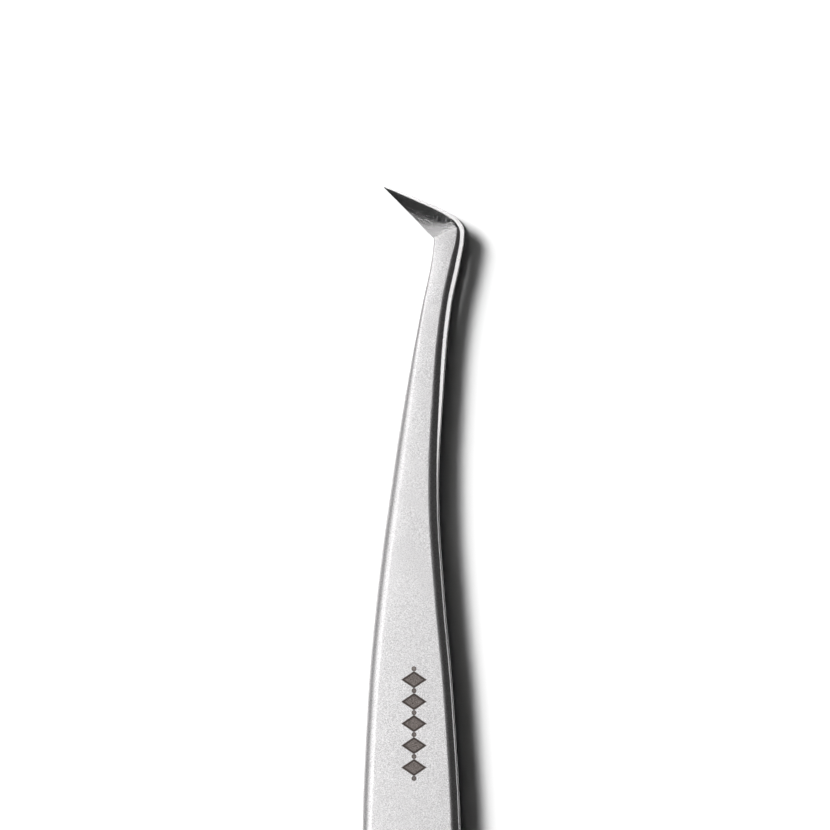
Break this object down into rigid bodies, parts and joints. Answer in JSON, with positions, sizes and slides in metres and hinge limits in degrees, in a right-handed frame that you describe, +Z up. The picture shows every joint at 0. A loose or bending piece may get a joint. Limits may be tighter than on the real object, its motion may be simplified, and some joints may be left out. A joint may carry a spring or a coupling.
{
  "type": "eyelash tweezers",
  "caption": "Needle-point eyelash tweezers with a short bent toe: sprung steel arms stacked and spot welded at the tail, closing at the toes when the grips are pressed.",
  "frame": {"origin": "under the middle of the object's box, on the surface that the lower arm's grip rests on", "axes": "+Y from the tail to the toes, +X to the side of the heel, +Z up through the lower and the upper arm"},
  "size_m": [0.0104, 0.122, 0.0122],
  "materials": {
    "blasted_steel": "bead-blasted satin stainless steel",
    "fused_steel": "dull spot-weld metal"
  },
  "bodies": {
    "tail": {"tail_weld_front": "fused_steel", "tail_weld_rear": "fused_steel"},
    "upper_arm": {"upper_arm": "blasted_steel"},
    "lower_arm": {"lower_arm": "blasted_steel"}
  },
  "joints": [
    {"name": "upper_arm_flex", "type": "hinge", "parent": "tail", "child": "upper_arm", "pos_m": [0, -0.05, 0.0061], "axis": [-1, 0, 0], "range_deg": [0, 2.19], "stiffness_Nm_per_rad": 1.5},
    {"name": "lower_arm_flex", "type": "hinge", "parent": "tail", "child": "lower_arm", "pos_m": [0, -0.05, 0.0061], "axis": [1, 0, 0], "range_deg": [0, 2.19], "stiffness_Nm_per_rad": 1.5}
  ]
}
